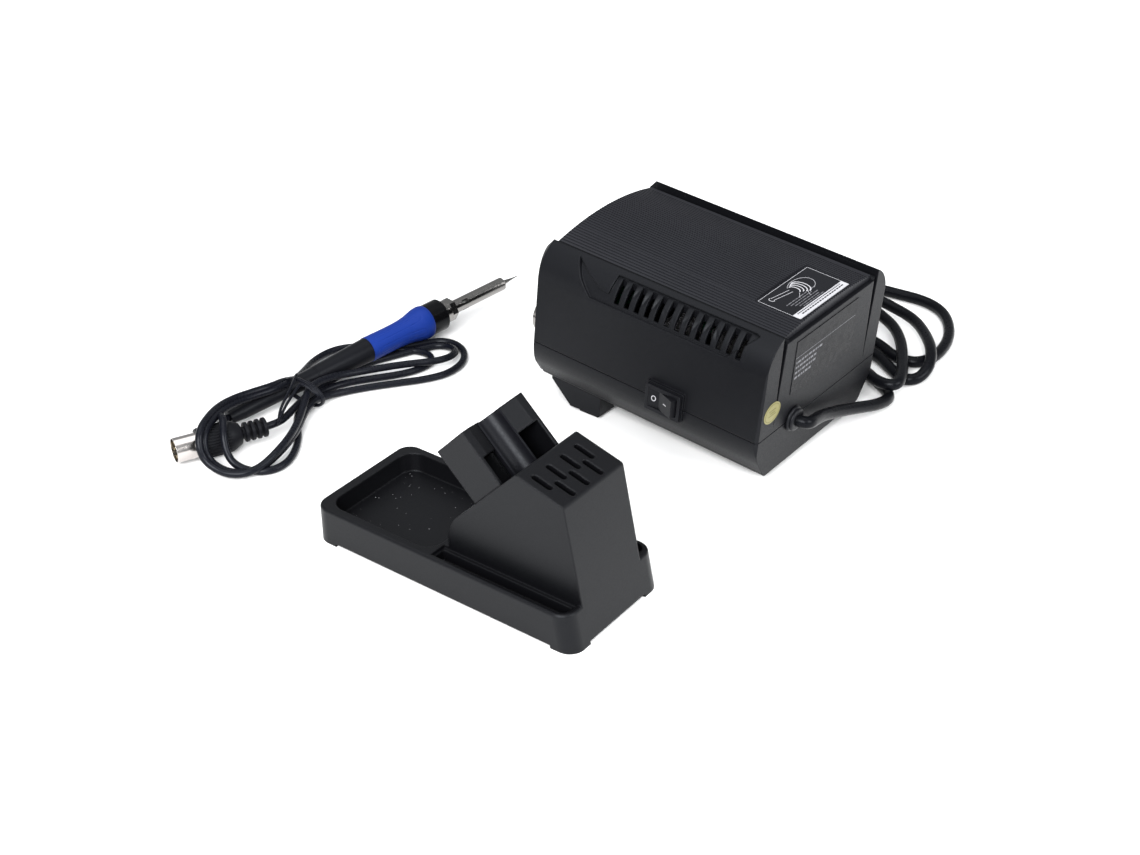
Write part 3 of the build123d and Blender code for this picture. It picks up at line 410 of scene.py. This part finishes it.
# ---- iron lead -----------------------------------------------------------------------------------
IRON_LEAD_RADIUS = 2.0
IRON_LEAD = [
    (94.2, -128.1, 6.3), (99.8, -128.6, 7.4), (104.5, -125.6, 12.2), (107.6, -119.6, 17.8),
    (110.6, -112.6, 20.4), (116.2, -107.0, 17.4), (119.6, -103.2, 11.2), (120.6, -98.6, 4.6),
    (119.4, -91.4, 2.3), (116.4, -83.0, 2.2), (109.9, -78.1, 2.2), (100.9, -77.9, 2.2),
    (90.5, -82.8, 2.2), (80.1, -90.9, 2.2), (72.6, -99.6, 2.2), (65.4, -106.6, 2.2),
    (57.0, -111.2, 2.2),
    # inner right lobe
    (42.0, -114.0, 2.2), (28.0, -111.0, 2.2), (14.0, -102.0, 2.2), (2.0, -93.0, 2.2),
    (-8.0, -88.0, 2.2), (-18.0, -86.5, 2.2), (-25.0, -91.0, 2.2), (-26.0, -99.0, 2.2),
    (-21.5, -108.5, 2.2), (-16.0, -118.0, 2.2), (-11.0, -128.0, 2.2), (-4.0, -136.5, 2.2),
    (6.0, -141.0, 2.2), (20.0, -139.5, 3.0), (36.0, -131.0, 6.4), (52.0, -121.8, 11.4),
    # first left lobe, over the boot and the plug
    (66.0, -121.3, 13.2), (77.0, -124.0, 13.8), (89.0, -125.2, 15.2), (101.6, -122.7, 17.2),
    (114.0, -116.8, 19.6), (123.6, -112.4, 19.2), (128.0, -109.4, 13.6), (128.6, -105.8, 6.4),
    (126.6, -99.4, 2.6), (125.0, -93.2, 2.2), (120.4, -87.4, 2.2), (112.1, -83.6, 2.8),
    (100.8, -83.9, 5.4), (90.5, -86.7, 6.3), (79.7, -91.7, 6.3), (68.6, -98.6, 6.3), (58.0, -105.0, 5.2),
    # outer right lobe
    (49.0, -107.5, 4.4), (35.0, -105.0, 2.2), (21.0, -96.5, 2.2), (7.0, -86.0, 2.2),
    (-5.0, -77.0, 2.2), (-17.0, -71.5, 2.2), (-31.0, -73.0, 2.2), (-41.0, -80.5, 2.2),
    (-44.5, -90.5, 2.2), (-42.0, -99.0, 2.2), (-35.0, -104.0, 2.2), (-26.0, -110.0, 2.2),
    (-14.0, -117.0, 2.2), (0.0, -121.5, 2.2), (16.0, -124.5, 2.2), (32.0, -127.0, 3.6),
    (46.0, -126.2, 8.0), (56.0, -125.2, 12.2),
    # second left lobe
    (67.4, -122.6, 15.2), (78.6, -125.2, 16.0), (91.4, -126.4, 17.6), (104.6, -123.6, 19.8),
    (117.4, -117.4, 21.6), (126.8, -112.4, 21.2), (131.4, -109.2, 15.4), (131.8, -105.4, 8.0),
    (130.2, -98.8, 4.4), (128.4, -92.4, 3.4), (124.0, -86.0, 3.6), (115.7, -82.2, 4.9),
    (104.4, -82.6, 7.6), (93.9, -85.4, 8.5), (83.3, -90.2, 8.5), (72.8, -96.4, 9.0), (63.0, -102.8, 10.8),
    # right lobe, upper strand
    (52.0, -110.0, 12.2), (36.0, -112.0, 9.8), (19.0, -107.5, 6.6), (3.0, -98.0, 6.3),
    (-9.0, -89.0, 6.3), (-17.0, -81.5, 6.3), (-26.0, -78.0, 6.2), (-35.0, -81.5, 4.6),
    (-39.0, -89.5, 2.8), (-37.0, -96.5, 2.3), (-30.0, -101.0, 2.2), (-18.0, -106.5, 2.2),
    (-5.0, -112.0, 2.2), (8.0, -117.0, 2.2), (24.0, -118.0, 2.2), (40.0, -115.5, 3.4),
    (53.0, -111.5, 6.4),
    (61.5, -107.4, 8.2), (69.0, -105.0, 8.6), (76.2, -102.6, 8.6), (83.5, -101.2, 8.6),
    (90.3, -103.5, 8.6),
]
iron_cord = cord("iron_cord", IRON_LEAD, IRON_LEAD_RADIUS, lead_black, "iron")
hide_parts("lead_start", "lead_hank", "lead_end")


TIE_RADIUS = 0.75
TIE_X, TIE_Y, TIE_Z = 52.6, -112.4, 9.0     # middle of the hank's waist
TIE_HALF_WIDE, TIE_HALF_HIGH = 14.0, 7.9
TIE_END = [(53.0, -118.0, 17.4), (58.0, -114.6, 17.6), (65.0, -110.6, 16.6), (75.6, -105.8, 14.6),
           (82.2, -102.4, 12.2), (86.6, -98.2, 10.0)]


def twist_tie():
    """Two wraps of a wire tie round the waist of the hank, and one of its ends."""
    points = []
    for k in range(27):
        turn = math.radians(75 - 30 * k)
        x = TIE_X + 0.09 * k + 1.2 * math.sin(turn)
        points.append((x, TIE_Y + TIE_HALF_WIDE * math.cos(turn), TIE_Z + TIE_HALF_HIGH * math.sin(turn)))
    points += [(57.0, -110.5, 17.4), (64.0, -107.6, 16.6), (74.5, -104.0, 14.6), (81.0, -101.6, 12.0),
               (86.3, -98.6, 10.8)]
    return points


tie = cord("wire_tie", twist_tie(), TIE_RADIUS, lead_black, "iron")
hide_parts("twist_tie")
tie_end = cord("wire_tie_end", TIE_END, TIE_RADIUS, lead_black, "iron")


# ---- plug of the iron lead -----------------------------------------------------------------------
SHELL_LONG = 12.0
RELIEF_RINGS, RING_PITCH, RING_RADIUS, NECK_RADIUS = 4, 3.3, 5.2, 3.1
PLUG_RADIUS, PLUG_BORE, CORE_BORE = 8.4, 2.05, 5.05
FLUTES, FLUTE_DEPTH = 36, 0.35


def plug_grip():
    """The moulded grip: a ringed strain relief, a bottle-shaped shoulder and a fluted barrel."""
    shell_at = (PLUG_FRONT - PLUG_BACK).length - SHELL_LONG
    rows = [(PLUG_BORE, 0.0), (3.2, 0.0)]
    for k in range(RELIEF_RINGS):
        start = 0.4 + RING_PITCH * k
        rows += [(4.9, start), (RING_RADIUS, start + 0.3), (RING_RADIUS, start + 1.6), (4.9, start + 1.9),
                 (NECK_RADIUS, start + 2.1), (NECK_RADIUS, start + 3.1)]
    rows += [(5.6, 14.6), (6.6, 16.4), (7.6, 18.4), (8.2, 20.6), (PLUG_RADIUS, 22.6), (PLUG_RADIUS, 25.0)]
    rows += [(PLUG_RADIUS, 28.0), (PLUG_RADIUS, 32.0), (PLUG_RADIUS, shell_at - 1.4), (8.0, shell_at - 0.3),
             (7.4, shell_at), (CORE_BORE, shell_at), (CORE_BORE, shell_at - 5.9), (PLUG_BORE, shell_at - 5.9)]

    def fluted(radius, height, turn):
        on_barrel = radius > PLUG_RADIUS - 0.1 and 21.0 < height < shell_at - 2
        return radius - (FLUTE_DEPTH if on_barrel and math.cos(FLUTES * turn) < 0 else 0.0)

    return lathe(rows, 4 * FLUTES, fluted)


plug_grip_piece = piece("plug_grip", *plug_grip(), PLUG, black_rubber, "iron", ("plug_body",), smooth=35)


# ---- ribbed roof panel ---------------------------------------------------------------------------
PANEL_HALF, PANEL_LENGTH, PANEL_FLOOR, PANEL_EDGE = 40.8, 137.4, 51.05, 53.8
LABEL_X, LABEL_Y, LABEL_Z = (-23.6, 25.4), (109.4, 136.6), 55.2
RIB_PITCH, RIB_FLAT, RIB_DEPTH = 2.0, 1.25, 0.55


def panel_height(x, y):
    """The arched panel's top, whose rise over its edges falls toward the back."""
    rise = 5.2 - 2.6 * y / PANEL_LENGTH
    radius = (PANEL_HALF ** 2 + rise ** 2) / (2 * rise)
    return PANEL_EDGE + rise - (radius - math.sqrt(radius ** 2 - x ** 2))


def roof_panel():
    """The arched panel, with ribs along the case and a flat place for the label."""
    columns = [(-PANEL_HALF, 0.0)]
    x = -39.0
    while x < 39.5:
        columns += [(x, RIB_DEPTH), (x + RIB_PITCH - RIB_FLAT, RIB_DEPTH),
                    (x + RIB_PITCH - RIB_FLAT + 0.12, 0.0), (x + RIB_PITCH - 0.12, 0.0)]
        x += RIB_PITCH
    columns += [(x, 0.0), (PANEL_HALF, 0.0)]
    for edge in LABEL_X:
        columns += [(edge - 0.05, 0.0), (edge + 0.05, 0.0)]
    columns.sort()
    rows = [0.0, 0.6] + [12.0 * k for k in range(1, 9)] + [104.0]
    rows += [LABEL_Y[0] - 0.05, LABEL_Y[0] + 0.05, 118.0, 127.0, LABEL_Y[1] - 0.05, LABEL_Y[1] + 0.05]
    rows += [PANEL_LENGTH]
    points, faces = [], []
    for y in rows:
        for x, drop in columns:
            inside = LABEL_X[0] < x < LABEL_X[1] and LABEL_Y[0] < y < LABEL_Y[1]
            z = LABEL_Z if inside else panel_height(x, y) - drop
            points.append((x, y, z))
    across = len(columns)
    for r in range(len(rows) - 1):
        for c in range(across - 1):
            k = r * across + c
            faces.append((k, k + 1, k + across + 1, k + across))
    low = len(points)
    for y in (rows[0], rows[-1]):
        for x, _ in columns:
            points.append((x, y, PANEL_FLOOR))
    top_last = (len(rows) - 1) * across
    for c in range(across - 1):
        faces.append((c, low + c, low + c + 1, c + 1))
        faces.append((top_last + c, top_last + c + 1, low + across + c + 1, low + across + c))
        faces.append((low + c, low + across + c, low + across + c + 1, low + c + 1))
    for c, top_c in ((0, 0), (across - 1, across - 1)):
        side = [r * across + top_c for r in range(len(rows))]
        faces.append(tuple([low + c] + side + [low + across + c]))
    return points, faces


roof = piece("roof_panel", *roof_panel(), STATION, ribbed, "station", ("top_panel",))


# ---- roof label: a generic picture of an iron's grip, lines in place of words --------------------
LABEL_TOP = 55.5
INK = 0.06               # thickness of the print
RULE = 0.2               # width of the border's lines


def label_art():
    """A border, a long barrel, its collar and a grip drawn with arcs."""
    z0, z1 = LABEL_TOP, LABEL_TOP + INK
    x0, x1, y0, y1 = -22.2, 24.0, 110.8, 135.4
    border = [[(x0, y0), (x1, y0)], [(x0, y0), (x0, y1)], [(x1, y0), (x1, y1)], [(x0, y1), (x1, y1)]]
    art = [ribbon(line, RULE, z0, z1) for line in border]
    art.append(ribbon([(17.5, 114.2), (4.0, 116.4)], 0.22, z0, z1))
    art.append(ribbon([(17.8, 116.2), (4.2, 118.6)], 0.22, z0, z1))
    art.append(ribbon(circle(18.2, 115.2, 1.3, 1.5, -110, 110), 0.3, z0, z1))
    for k in range(4):
        rib = circle(1.6 - 1.5 * k, 118.0 + 0.3 * k, 2.0 + 0.7 * k, 3.1 + 0.75 * k, 90, 280)
        art.append(ribbon(rib, 0.55, z0, z1))
    art.append(ribbon(circle(-4.0, 118.5, 9.5, 5.8, 110, 320), 0.18, z0, z1))
    art.append(ribbon([(2.5, 121.5), (6.5, 124.2)], 0.18, z0, z1))
    art.append(ribbon([(-2.5, 123.0), (0.5, 126.6)], 0.18, z0, z1))
    return joined(art)


def bar_row(start, end, gap, length_of):
    """The two ends of each bar in a row that stands for words, from start down to end."""
    spans = []
    x = start
    while x > end:
        long = length_of(len(spans))
        spans.append((x - long, x))
        x -= long + gap
    return spans


def label_lines():
    """Fine print on the label, as broken bars."""
    specs = []
    for row, y in enumerate((123.4, 125.0, 126.6, 128.2, 129.6)):
        spans = bar_row(18.0 - 1.5 * row, -6.0 + 3.0 * (row % 2), 0.55,
                        lambda step: 1.1 + 0.7 * ((step * 7 + row * 3) % 4))
        specs += [(x0, x1, y, y + 0.5, LABEL_TOP, LABEL_TOP + 0.05) for x0, x1 in spans]
    return boxes(specs)


def label_bar_marks():
    """Two rows of dark bars on the label's white bar."""
    specs = []
    for row, y in enumerate((131.5, 133.0)):
        spans = bar_row(21.0 - 2.0 * row, -18.5, 0.5, lambda step: 0.9 + 0.45 * ((step * 5 + row * 2) % 5))
        specs += [(x0, x1, y, y + 0.75, LABEL_TOP + 0.07, LABEL_TOP + 0.11) for x0, x1 in spans]
    return boxes(specs)


art_piece = piece("label_art", *label_art(), STATION, print_white, "station")
lines_piece = piece("label_lines", *label_lines(), STATION, print_grey, "station")
bar_piece = piece("label_bar", *boxes([(-22.0, 23.8, 130.9, 135.2, LABEL_TOP + 0.01, LABEL_TOP + 0.07)]),
                  STATION, print_white, "station")
marks_piece = piece("label_bar_marks", *label_bar_marks(), STATION, film, "station")


# ---- rating plate: a rule and rows of bars in place of words -------------------------------------
PLATE_FACE = 140.0


def plate_marks():
    """A rule across the plate and four rows of bars."""
    y0, y1 = PLATE_FACE, PLATE_FACE + 0.05
    specs = [(-26.0, 31.0, y0, y1, 37.6, 37.9)]
    for row, z in enumerate((34.2, 31.2, 28.2, 25.2)):
        spans = bar_row(30.0, 8.0 + 2.5 * row, 0.7, lambda step: 0.9 + 0.6 * ((step * 3 + row * 5) % 4))
        specs += [(x0, x1, y0, y1, z, z + 1.2) for x0, x1 in spans]
    return boxes(specs)


plate_piece = piece("plate_marks", *plate_marks(), STATION, print_grey, "station")


# ---- inspection sticker --------------------------------------------------------------------------
BACK_WALL = 0.1397       # the back wall, in metres from the case's front edge
STICKER_HALF_WIDE, STICKER_HALF_HIGH, STICKER_THICK = 7.3, 5.8, 0.2


def on_back_wall(x, z):
    """A frame on the station's back wall whose Z runs out of the wall; metres."""
    return STATION @ Matrix.Translation((x, BACK_WALL, z)) @ Matrix.Rotation(math.radians(-90), 4, "X")


def sticker_marks():
    """A ring and three bars."""
    ink = STICKER_THICK + INK
    parts = [ribbon(circle(0, 0, STICKER_HALF_WIDE - 1.0, STICKER_HALF_HIGH - 0.9), 0.3, STICKER_THICK, ink)]
    for x0, x1, y in ((-3.2, 3.4, 1.3), (-2.4, 2.0, -0.1), (-3.0, 3.2, -1.6)):
        parts.append(ribbon([(x0, y), (x1, y)], 0.45, STICKER_THICK, ink))
    return joined(parts)


oval = circle(0, 0, STICKER_HALF_WIDE, STICKER_HALF_HIGH, steps=72)[:-1]
oval_piece = piece("oval_sticker", *prism(oval, 0.0, STICKER_THICK), on_back_wall(0.047, 0.014),
                   sticker_green, "station", ("qc_sticker",))
sticker_piece = piece("sticker_marks", *sticker_marks(), on_back_wall(0.047, 0.014), sticker_dark, "station")


# ---- cord collar at the back wall ----------------------------------------------------------------
def collar():
    """The collar's flange and bead outside the wall, its groove in the wall and its inner flange."""
    rows = [(3.3, -3.9), (6.3, -3.9), (6.3, -2.55), (4.6, -2.5), (4.6, 0.05), (6.3, 0.05), (6.8, 0.4),
            (6.9, 0.9), (6.7, 1.4), (6.2, 1.7), (5.8, 1.9), (6.1, 2.2), (6.1, 2.7), (5.7, 3.2),
            (4.8, 3.5), (3.3, 3.5)]
    return lathe(rows, 64)


collar_piece = piece("cord_collar", *collar(), on_back_wall(0.025, 0.0), switch_black, "station",
                     ("cord_grommet",), smooth=50)


# ---- switch marks --------------------------------------------------------------------------------
PADDLE = STATION @ Matrix.Translation((0.058, 0.0848, 0.0016)) @ Matrix.Rotation(math.radians(-10), 4, "Z")


def on_paddle(y, end_y):
    """A frame on one face of the rocker: X along the case, Y up, Z out of the face."""
    valley, low, high = -2.0, 2.6, 4.4
    steep = (high - low) / (end_y - valley)
    out = low + steep * (y - valley)
    turn = Matrix(((0, 0, 1), (1, 0, 0), (0, 1, 0))).to_4x4()
    lean = Matrix.Rotation(-math.atan(steep), 4, "Z")
    return PADDLE @ Matrix.Translation((out * MM, y * MM, 0)) @ lean @ turn


ring_mark = piece("switch_ring", *ribbon(circle(0, 0, 1.15, 1.45), 0.38, 0.0, 0.07), on_paddle(-4.9, -7.9),
                  print_white, "paddle")
bar_mark = piece("switch_bar", *boxes([(-1.2, 1.2, -0.2, 0.2, 0.0, 0.07)]), on_paddle(2.8, 7.9),
                 print_white, "paddle")


# ---- grip: a soft sleeve with long rounded marks -------------------------------------------------
GRIP_FRONT, GRIP_BACK, GRIP_BORE = 71.0, 113.5, 6.0
MARK_LOW, MARK_HIGH, MARK_HALF_WIDE = 79.5, 108.0, 1.9
GROOVE_HALF_WIDE, GROOVE_DEPTH = 0.38, 0.28


def grip_radius(z):
    """The sleeve's radius: flared at its front, waisted for the fingers."""
    stops = [(71.0, 9.3), (72.0, 9.62), (74.0, 9.72), (76.5, 9.45), (79.5, 8.75), (83.0, 7.95),
             (87.0, 7.4), (92.0, 7.1), (98.0, 7.0), (106.0, 7.08), (GRIP_BACK, 7.2)]
    for (z0, r0), (z1, r1) in zip(stops, stops[1:]):
        if z <= z1:
            part = (z - z0) / (z1 - z0)
            return r0 + (r1 - r0) * part
    return stops[-1][1]


def grip_mark(radius, z, turn):
    """The groove of a long rounded outline, six times round the sleeve."""
    if radius < GRIP_BORE + 0.5:
        return radius
    sector = math.pi / 3
    off = ((turn + sector / 2) % sector - sector / 2) * radius
    along = max(MARK_LOW - z, 0.0, z - MARK_HIGH)
    away = math.hypot(along, off)
    groove = max(0.0, 1.0 - abs(away - MARK_HALF_WIDE) / GROOVE_HALF_WIDE)
    return radius - GROOVE_DEPTH * groove


def grip():
    """The sleeve, turned round the iron with its marks pressed in."""
    rows = [(GRIP_BORE, GRIP_FRONT)]
    steps = 110
    for k in range(steps + 1):
        z = GRIP_FRONT + (GRIP_BACK - GRIP_FRONT) * k / steps
        rows.append((grip_radius(z), z))
    rows.append((GRIP_BORE, GRIP_BACK))
    return lathe(rows, 180, grip_mark)


grip_piece = piece("soft_grip", *grip(), IRON, grip_blue, "iron", ("grip_sleeve",), smooth=60)


# ---- dust in the sponge tray ---------------------------------------------------------------------
STAND = Matrix.Translation((0.1017, 0.0526, 0)) @ Matrix.Rotation(math.radians(1.15), 4, "Z")
TRAY_FLOOR = 9.48
TRAY_HALF_WIDE, TRAY_MIDDLE, TRAY_HALF_LONG = 24.0, -39.0, 27.0
SPECKS = 60


def dust_specks():
    """Tiny pyramids scattered over the tray's floor, always in the same places."""
    specks = []
    for k in range(SPECKS):
        x = TRAY_HALF_WIDE * math.sin(12.9898 * (k + 1))
        y = TRAY_MIDDLE + TRAY_HALF_LONG * math.sin(78.233 * (k + 1))
        size = 0.10 + 0.16 * abs(math.sin(3.7 * k))
        turn = 1.3 * k
        corners = [(x + size * math.cos(turn + a), y + size * math.sin(turn + a)) for a in (0, 2.1, 4.2)]
        specks.append(([(cx, cy, TRAY_FLOOR) for cx, cy in corners] + [(x, y, TRAY_FLOOR + size)],
                       [(0, 2, 1), (0, 1, 3), (1, 2, 3), (2, 0, 3)]))
    return joined(specks)


dust_piece = piece("tray_dust", *dust_specks(), STAND, dust, "stand")


# ---- bench and light -----------------------------------------------------------------------------
BENCH_HALF, BENCH_Z = 6.0, -0.0002
MIDDLE = (0.0, 0.0, 0.03)
SKY = (0.94, 0.97, 1.0, 1.0)
SKY_STRENGTH = 0.45


def make_stage():
    """The white bench."""
    material, tree, shader = new_material("bench")
    clouds = noise(tree, 3.0)
    tree.links.new(tint(tree, clouds, (0.86, 0.86, 0.86), (0.90, 0.90, 0.90)), shader.inputs["Base Color"])
    shader.inputs["Roughness"].default_value = 0.9
    shader.inputs["Specular IOR Level"].default_value = 0.1
    mesh = bpy.data.meshes.new("bench")
    corners = [(-1, -1), (1, -1), (1, 1), (-1, 1)]
    mesh.from_pydata([(x * BENCH_HALF, y * BENCH_HALF, BENCH_Z) for x, y in corners], [], [(0, 1, 2, 3)])
    mesh.materials.append(material)
    bench = bpy.data.objects.new("bench", mesh)
    bpy.context.scene.collection.objects.link(bench)


def make_sky():
    """Even light from all round."""
    world = bpy.data.worlds.new("studio")
    world.use_nodes = True
    world.node_tree.nodes["Background"].inputs["Color"].default_value = SKY
    world.node_tree.nodes["Background"].inputs["Strength"].default_value = SKY_STRENGTH
    bpy.context.scene.world = world


def area_light(name, place, target, size, power):
    """A soft light of a size and a power in watts, turned to a target."""
    data = bpy.data.lights.new(name, "AREA")
    data.shape = "RECTANGLE"
    data.size, data.size_y = size
    data.energy = power
    light = bpy.data.objects.new(name, data)
    bpy.context.scene.collection.objects.link(light)
    light.location = place
    light.rotation_euler = (Vector(target) - Vector(place)).to_track_quat("-Z", "Y").to_euler()


make_stage()
make_sky()
area_light("key", (1.6, 0.6, 1.3), MIDDLE, (1.6, 1.2), 95.0)
area_light("back_fill", (-0.4, 1.9, 1.1), MIDDLE, (1.4, 1.0), 40.0)
area_light("top_fill", (0.0, -0.3, 2.2), (0.0, 0.0, 0.0), (2.2, 2.2), 30.0)
bpy.context.scene.view_settings.view_transform = "Standard"
